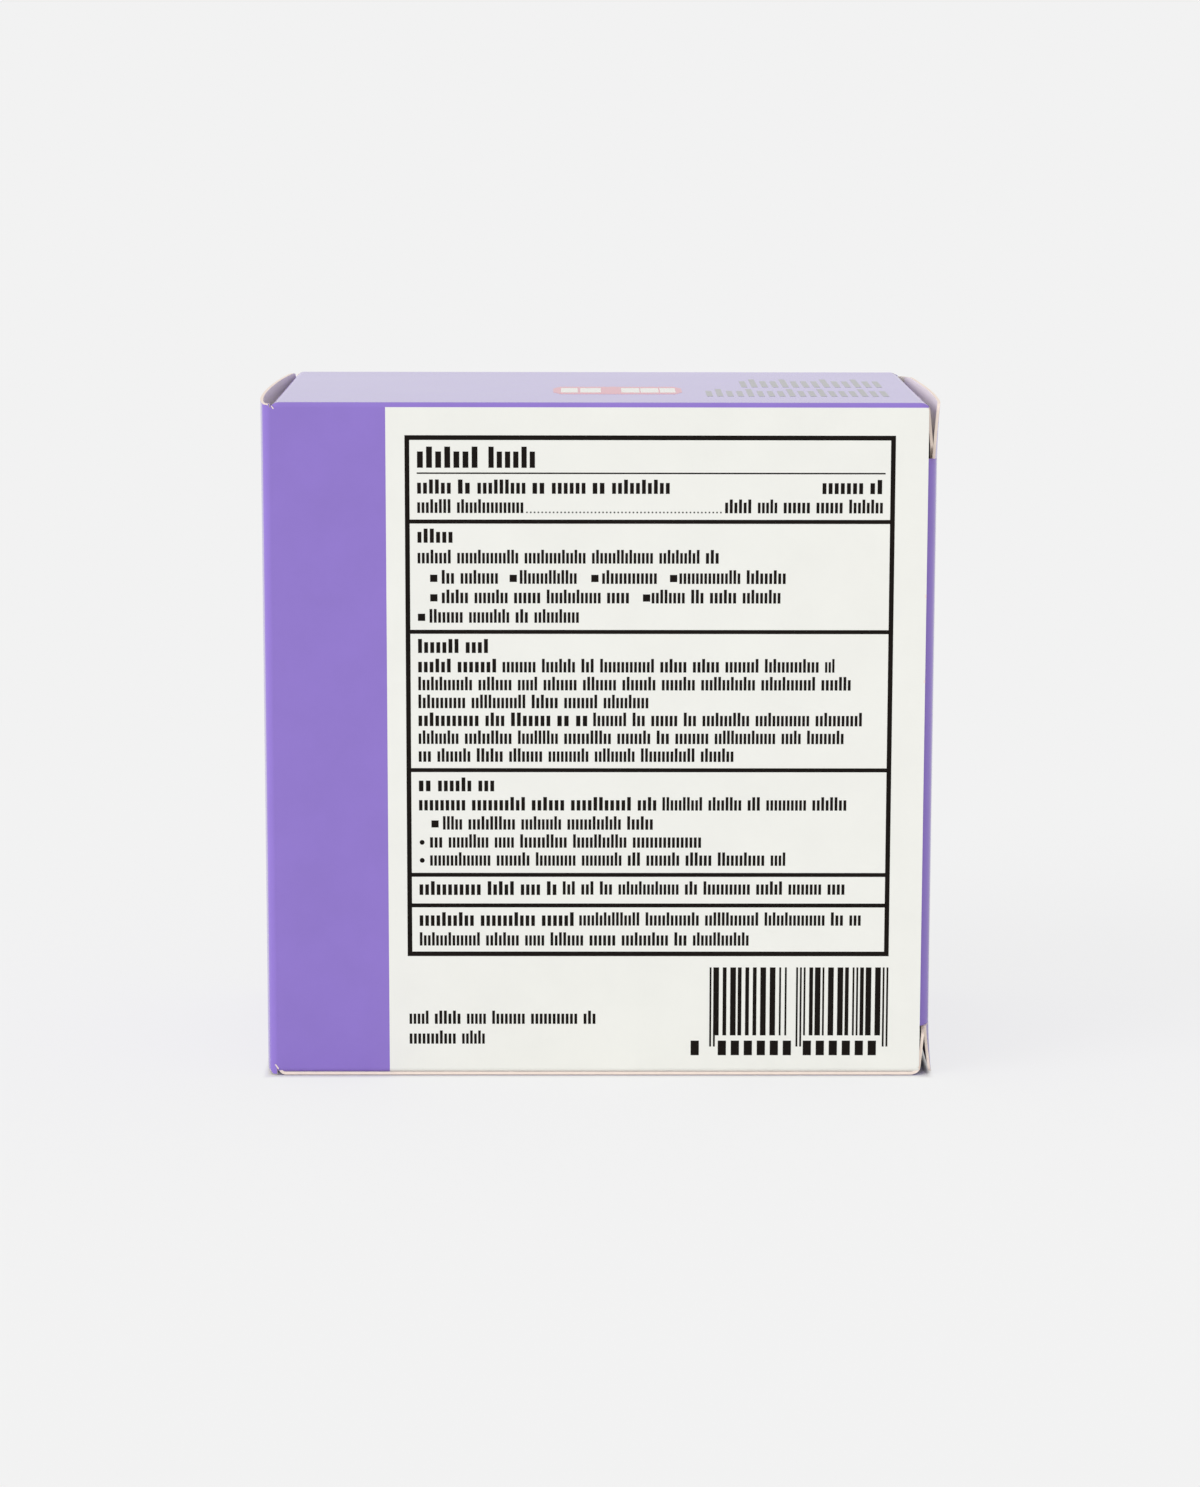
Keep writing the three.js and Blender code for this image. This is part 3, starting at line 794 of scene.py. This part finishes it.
# The rear panel's print, across and up from the middle of the panel's foot
TABLE_LEFT, TABLE_RIGHT = -26.6, 40.45
TABLE_TOP, TABLE_BOTTOM = 89.75, 17.05
TABLE_LINE = 0.65
TABLE_ROWS = (77.92, 62.69, 43.38, 28.61, 24.27)
ROW_LINE = 0.56
HEADING_RULE = 84.56
RULE = 0.2
TEXT_LEFT, TEXT_RIGHT = -24.9, 39.0
SMALL_SIZE, BOLD_SIZE, TITLE_SIZE = 1.9, 1.95, 2.9
BOLD = 0.26
BULLET = 0.5
DOT = 0.34


def print_table(sheet):
    """The table's frame, the lines between its rows and the rule under its title."""
    line = TABLE_LINE
    sheet.rectangle(TABLE_LEFT, TABLE_BOTTOM, TABLE_LEFT + line, TABLE_TOP)
    sheet.rectangle(TABLE_RIGHT - line, TABLE_BOTTOM, TABLE_RIGHT, TABLE_TOP)
    sheet.rectangle(TABLE_LEFT + line, TABLE_TOP - line, TABLE_RIGHT - line, TABLE_TOP)
    sheet.rectangle(TABLE_LEFT + line, TABLE_BOTTOM, TABLE_RIGHT - line, TABLE_BOTTOM + line)
    for up in TABLE_ROWS:
        sheet.rectangle(TABLE_LEFT + line, up - ROW_LINE / 2, TABLE_RIGHT - line, up + ROW_LINE / 2)
    sheet.rectangle(-24.95, HEADING_RULE - RULE / 2, 39.1, HEADING_RULE + RULE / 2)


def print_leader(sheet, left, base, count, pitch=0.52, dot=0.2):
    """A row of dots that leads from one entry of a table to the next."""
    for k in range(count):
        across = left + k * pitch
        sheet.rectangle(across, base, across + dot, base + dot)


def print_rear():
    """The rear panel's table and small print. Each line of print is its left end, right end and base."""
    sheet = Print(rear_place)
    rng = random.Random(7)
    print_table(sheet)
    text_line(sheet, rng, TEXT_LEFT, -8.4, 85.3, TITLE_SIZE, BOLD)
    text_line(sheet, rng, TEXT_LEFT, 9.9, 81.75, BOLD_SIZE, BOLD)
    text_line(sheet, rng, 30.5, TEXT_RIGHT, 81.75, BOLD_SIZE, BOLD)
    text_line(sheet, rng, TEXT_LEFT, -10.2, 79.1, SMALL_SIZE)
    print_leader(sheet, -10.0, 79.1, 52)
    text_line(sheet, rng, 17.2, TEXT_RIGHT, 79.1, SMALL_SIZE)
    for base, end in ((75.0, -19.8), (59.75, -15.0), (40.4, -14.2)):
        text_line(sheet, rng, TEXT_LEFT, end, base, BOLD_SIZE, BOLD)
    plain = [
        (TEXT_LEFT, 16.6, 72.15),
        (-21.6, -13.7, 69.35), (-10.9, -2.9, 69.35), (0.4, 8.1, 69.35), (11.0, 25.8, 69.35),
        (-21.6, 4.3, 66.65), (7.2, 25.1, 66.65), (-23.3, -2.6, 63.95),
        (-13.3, 32.6, 57.05), (TEXT_LEFT, 34.9, 54.55), (TEXT_LEFT, 7.0, 52.05),
        (-0.8, 36.5, 49.55), (TEXT_LEFT, 34.0, 47.05), (TEXT_LEFT, 18.8, 44.55),
        (8.8, 34.5, 37.7), (-21.6, 7.7, 35.0), (-23.4, 14.4, 32.45), (-23.4, 26.1, 29.9),
        (-5.0, 34.4, 25.8), (-2.7, 36.7, 21.4), (TEXT_LEFT, 21.1, 18.55),
        (-26.4, -0.2, 7.35), (-26.4, -15.7, 4.5),
    ]
    for left, right, base in plain:
        text_line(sheet, rng, left, right, base, SMALL_SIZE)
    for left, right, base in ((TEXT_LEFT, -13.9, 57.05), (TEXT_LEFT, -1.3, 49.55), (TEXT_LEFT, 8.2, 37.7)):
        text_line(sheet, rng, left, right, base, SMALL_SIZE, BOLD)
    for left, right, base in ((TEXT_LEFT, -5.6, 25.75), (TEXT_LEFT, -3.2, 21.35)):
        text_line(sheet, rng, left, right, base, BOLD_SIZE, BOLD)
    for across, up in ((-22.7, 70.1), (-11.8, 70.1), (-0.6, 70.1), (10.2, 70.1), (-22.7, 67.4), (6.5, 67.4),
                       (-24.4, 64.7), (-22.7, 35.8)):
        sheet.rectangle(across - BULLET, up - BULLET, across + BULLET, up + BULLET)
    for up in (33.2, 30.65):
        sheet.ellipse(-24.5, up, DOT, DOT)
    print_bar_code(sheet, rng)
    return box_piece("rear_print", sheet.solids, INK, "carton")


def print_bar_code(sheet, rng):
    """Plain bars of mixed widths in two groups between long guards, with blocks below them."""
    left, right, low, high, guard = 15.5, TABLE_RIGHT, 5.7, 15.45, 4.1
    modules, group_starts, group_length = 95, (3, 50), 40
    module = (right - left) / modules
    for k in (0, 2, 46, 48, 92, 94):
        sheet.rectangle(left + k * module, guard, left + (k + 1) * module, high)
    for start in group_starts:
        at = 0
        while at < group_length:
            width = rng.choice((1, 1, 2, 2, 3))
            sheet.rectangle(left + (start + at) * module, low, left + (start + at + width) * module, high)
            at += width + rng.choice((1, 1, 2, 2))
    block_pitch, block_width, block_low, block_high = 1.82, 1.15, 2.85, 4.95
    for start, count in ((12.9, 1), (16.7, 6), (28.6, 6)):
        for k in range(count):
            across = start + k * block_pitch
            sheet.rectangle(across, block_low, across + block_width, block_high)


def top_place(across, up, height):
    return (across, up, HEIGHT + height)


def front_place(across, up, height):
    return (-across, HALF_DEPTH + height, up)


def scuff_edges():
    """Small white nicks where the print has cracked: at both left corners and on the right cut edge."""
    sheet = Print(rear_place)
    sheet.shape([(-44.75, 93.72), (-44.6, 93.72), (-44.35, 93.35), (-44.5, 93.3)])
    sheet.shape([(-45.9, 93.95), (-45.1, 93.8), (-45.2, 94.05), (-45.85, 94.08)])
    sheet.shape([(-45.3, 1.5), (-45.15, 1.55), (-44.7, 0.9), (-44.85, 0.8)])
    nick_left, cut_edge = 44.75, 44.95
    for up, height in ((67.4, 0.5), (55.6, 0.4)):
        sheet.rectangle(nick_left, up, cut_edge, up + height)
    return box_piece("edge_scuffs", sheet.solids, BOARD_EDGE, "carton")


def capsule(left, right, low, high):
    """The corners of a long field with cut corners."""
    side = (high - low) / 4
    tip = (high - low) / 12
    return [
        (left, low + side), (left + tip, low), (right - tip, low), (right, low + side),
        (right, high - side), (right - tip, high), (left + tip, high), (left, high - side),
    ]


def print_label(name, place, field, blocks, rows):
    """A crimson field with white blocks on it, and rows of dark bars. A row is its number of bars, its left
    end, its pitch, its low edge and the heights of its low and tall bars."""
    red, white, dark = Print(place), Print(place, 2 * INK_PROUD), Print(place)
    left, right, low, high = field
    red.shape(capsule(left, right, low, high))
    width = right - left
    margin = (high - low) / 5
    for start, end in blocks:
        white.rectangle(left + start * width, low + margin, left + end * width, high - margin)
    for count, start, pitch, base, short, tall in rows:
        for k in range(count):
            height = tall if k % 7 in (1, 4) else short
            dark.rectangle(start + k * pitch, base, start + (k + BIG_INK_SHARE) * pitch, base + height)
    box_piece(f"{name}_field", red.solids, PRINT_CRIMSON, "carton")
    box_piece(f"{name}_bars", dark.solids, PRINT_DARK, "carton")
    box_piece(f"{name}_blocks", white.solids, PRINT_WHITE, "carton")


# Where the white blocks lie on a crimson field, as shares of its width, and a large bar's share of its pitch
BLOCKS = ((0.06, 0.19), (0.21, 0.37), (0.53, 0.67), (0.68, 0.82), (0.83, 0.95))
BIG_INK_SHARE = 0.58


def print_top():
    """The top panel's print, which is read from the front."""
    rows = ((18, 15.0, 1.44, -16.5, 9.0, 12.5), (14, 20.4, 1.48, -1.0, 10.5, 14.0))
    print_label("top", top_place, (-6.4, 11.7, -12.9, -0.5), BLOCKS, rows)


def print_front():
    """The front panel, plain and generic: the top panel's print at a larger size, and a white field below."""
    rows = ((18, -38.0, 2.9, 66.0, 10.0, 14.0), (14, -38.0, 2.9, 50.0, 8.0, 11.2))
    print_label("front", front_place, (6.0, 38.0, 30.0, 42.0), BLOCKS, rows)
    white = Print(front_place)
    white.rectangle(-HINGE_X + 2.0, 7.0, HALF_LENGTH - 1.0, 19.0)
    box_piece("front_white", white.solids, PRINT_WHITE, "carton")


def film_material():
    """Sealed strips: bright pockets of film with the lidding foil's fine grid of seals."""
    shade, light = (222, 224, 226), (240, 241, 242)
    cloud_scale, cell_scale, cell_height = 320.0, 900.0, 0.03 * MM
    nodes = Nodes("blister_film")
    colour = nodes.ramp(nodes.noise(cloud_scale), [(0.35, linear(shade)), (0.65, linear(light))])
    nodes.link(colour, nodes.shader.inputs["Base Color"])
    nodes.shader.inputs["Roughness"].default_value = 0.22
    nodes.shader.inputs["Coat Weight"].default_value = 0.4
    cells = nodes.add("ShaderNodeTexVoronoi")
    cells.inputs["Scale"].default_value = cell_scale
    nodes.link(nodes.coordinates, cells.inputs["Vector"])
    nodes.bump(cells.outputs["Distance"], cell_height, 0.4)
    return nodes.material


def dress_contents():
    """Give the strips and the leaflet their materials; their shapes are the frame's."""
    film = film_material()
    paper = paper_material("leaflet_paper", (240, 239, 234), 0.9, 0.03, 700.0, 0.03).material
    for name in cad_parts:
        if name.startswith("blister_strip") or name == "leaflet":
            node = bpy.data.objects[name]
            node.data.materials.clear()
            node.data.materials.append(paper if name == "leaflet" else film)


def set_camera():
    """The photograph's camera, fitted to the box's edges and the table's frame."""
    sensor = 36.0
    image_height = 1487
    focal_pixels = 4015
    eye = Vector((-3.52, -573.6, 141.15)) * MM
    yaw, pitch, roll = math.radians(0.384), math.radians(9.76), math.radians(-0.105)
    data = bpy.data.cameras.new("photo_camera")
    data.sensor_fit = "VERTICAL"
    data.sensor_height = sensor
    data.lens = focal_pixels / image_height * sensor
    data.clip_start = 0.01
    data.clip_end = 100.0
    camera = bpy.data.objects.new("photo_camera", data)
    turn = (Matrix.Rotation(-yaw, 4, "Z") @ Matrix.Rotation(math.pi / 2 - pitch, 4, "X")
            @ Matrix.Rotation(-roll, 4, "Z"))
    camera.matrix_world = Matrix.Translation(eye) @ turn
    bpy.context.scene.collection.objects.link(camera)
    bpy.context.scene.camera = camera


def seen_rays(tree, with_glossy):
    """1 for the rays by which the camera sees the background: straight, through glass or in a gloss."""
    path = tree.nodes.new("ShaderNodeLightPath")
    names = ["Is Camera Ray", "Is Transmission Ray"] + (["Is Glossy Ray"] if with_glossy else [])
    total = path.outputs[names[0]]
    for name in names[1:]:
        either = tree.nodes.new("ShaderNodeMath")
        either.operation = "MAXIMUM"
        tree.links.new(total, either.inputs[0])
        tree.links.new(path.outputs[name], either.inputs[1])
        total = either.outputs[0]
    return total


def mixed(tree, factor, first, second):
    """A shader that is first where the factor is 0 and second where it is 1."""
    mix = tree.nodes.new("ShaderNodeMixShader")
    tree.links.new(factor, mix.inputs["Fac"])
    tree.links.new(first, mix.inputs[1])
    tree.links.new(second, mix.inputs[2])
    return mix.outputs[0]


def floor_material():
    """A pale floor. Seen directly it has its full shading under the box, a light shadow near it, and is plain
    background further out."""
    nodes = Nodes("floor_pale")
    tree = nodes.tree
    nodes.shader.inputs["Base Color"].default_value = linear(FLOOR_PALE)
    nodes.shader.inputs["Roughness"].default_value = 1.0
    nodes.shader.inputs["Specular IOR Level"].default_value = 0.0
    shaded_part = nodes.add("ShaderNodeBsdfDiffuse")
    shaded_part.inputs["Color"].default_value = (FLOOR_SHADE, FLOOR_SHADE, FLOOR_SHADE, 1)
    plain_part = nodes.add("ShaderNodeEmission")
    plain_part.inputs["Color"].default_value = (1, 1, 1, 1)
    plain_part.inputs["Strength"].default_value = FLOOR_PLAIN
    near = nodes.add("ShaderNodeAddShader")
    nodes.link(shaded_part.outputs[0], near.inputs[0])
    nodes.link(plain_part.outputs[0], near.inputs[1])
    far = nodes.add("ShaderNodeEmission")
    far.inputs["Color"].default_value = linear(BACKGROUND)
    distance = nodes.add("ShaderNodeVectorMath", operation="LENGTH")
    nodes.link(nodes.add("ShaderNodeTexCoord").outputs["Object"], distance.inputs[0])
    apart = nodes.add("ShaderNodeSeparateXYZ")
    nodes.link(distance.inputs[0].links[0].from_socket, apart.inputs[0])
    reaches = []
    for axis, half in (("X", HINGE_X - 0.2), ("Y", HALF_DEPTH)):
        size = nodes.add("ShaderNodeMath", operation="ABSOLUTE")
        nodes.link(apart.outputs[axis], size.inputs[0])
        beyond = nodes.add("ShaderNodeMath", operation="SUBTRACT")
        nodes.link(size.outputs[0], beyond.inputs[0])
        beyond.inputs[1].default_value = half * MM
        reaches.append(beyond.outputs[0])
    outside = nodes.add("ShaderNodeMath", operation="MAXIMUM")
    for socket, reach in zip(outside.inputs, reaches):
        nodes.link(reach, socket)
    edge = nodes.add("ShaderNodeMapRange", interpolation_type="SMOOTHSTEP")
    edge.inputs["From Min"].default_value, edge.inputs["From Max"].default_value = UNDER_BOX
    nodes.link(outside.outputs[0], edge.inputs["Value"])
    close = mixed(tree, edge.outputs["Result"], nodes.shader.outputs[0], near.outputs[0])
    fade = nodes.add("ShaderNodeMapRange", interpolation_type="SMOOTHSTEP")
    fade.inputs["From Min"].default_value, fade.inputs["From Max"].default_value = SHADOW_FADE
    nodes.link(distance.outputs["Value"], fade.inputs["Value"])
    seen = mixed(tree, fade.outputs["Result"], close, far.outputs[0])
    whole = mixed(tree, seen_rays(tree, False), nodes.shader.outputs[0], seen)
    nodes.link(whole, nodes.output.inputs["Surface"])
    return nodes.material


def set_stage():
    """An even white surround that is seen as the plain background, and the floor."""
    world = bpy.data.worlds.new("studio")
    world.use_nodes = True
    tree = world.node_tree
    background = tree.nodes["Background"]
    background.inputs["Color"].default_value = (1, 1, 1, 1)
    background.inputs["Strength"].default_value = WORLD_LEVEL
    seen = tree.nodes.new("ShaderNodeBackground")
    seen.inputs["Color"].default_value = linear(BACKGROUND)
    whole = mixed(tree, seen_rays(tree, True), background.outputs[0], seen.outputs[0])
    tree.links.new(whole, tree.nodes["World Output"].inputs["Surface"])
    bpy.context.scene.world = world
    bpy.context.scene.view_settings.view_transform = "Standard"

    mesh = bpy.data.meshes.new("floor")
    quarters = ((-1, -1), (1, -1), (1, 1), (-1, 1))
    corners = [(x * FLOOR_REACH, y * FLOOR_REACH, FLOOR_HEIGHT * MM) for x, y in quarters]
    mesh.from_pydata(corners, [], [(0, 1, 2, 3)])
    mesh.materials.append(floor_material())
    floor = bpy.data.objects.new("floor", mesh)
    bpy.context.scene.collection.objects.link(floor)


def add_sun(name, energy, angle, direction):
    """A broad soft light that shines in that direction."""
    data = bpy.data.lights.new(name, "SUN")
    data.energy = energy
    data.angle = math.radians(angle)
    lamp = bpy.data.objects.new(name, data)
    lamp.rotation_euler = Vector(direction).to_track_quat("-Z", "Y").to_euler()
    bpy.context.scene.collection.objects.link(lamp)


set_camera()
set_stage()
add_sun("key", energy=1.5, angle=40, direction=(0.8, 0.5, -0.35))
make_carton()
make_end_flap("left_flap_board", LEFT_END, "left_flap", "left_end_flap", True)
make_end_flap("right_flap_board", RIGHT_END, "right_flap", "right_end_flap", False)
print_rear()
print_top()
print_front()
scuff_edges()
dress_contents()
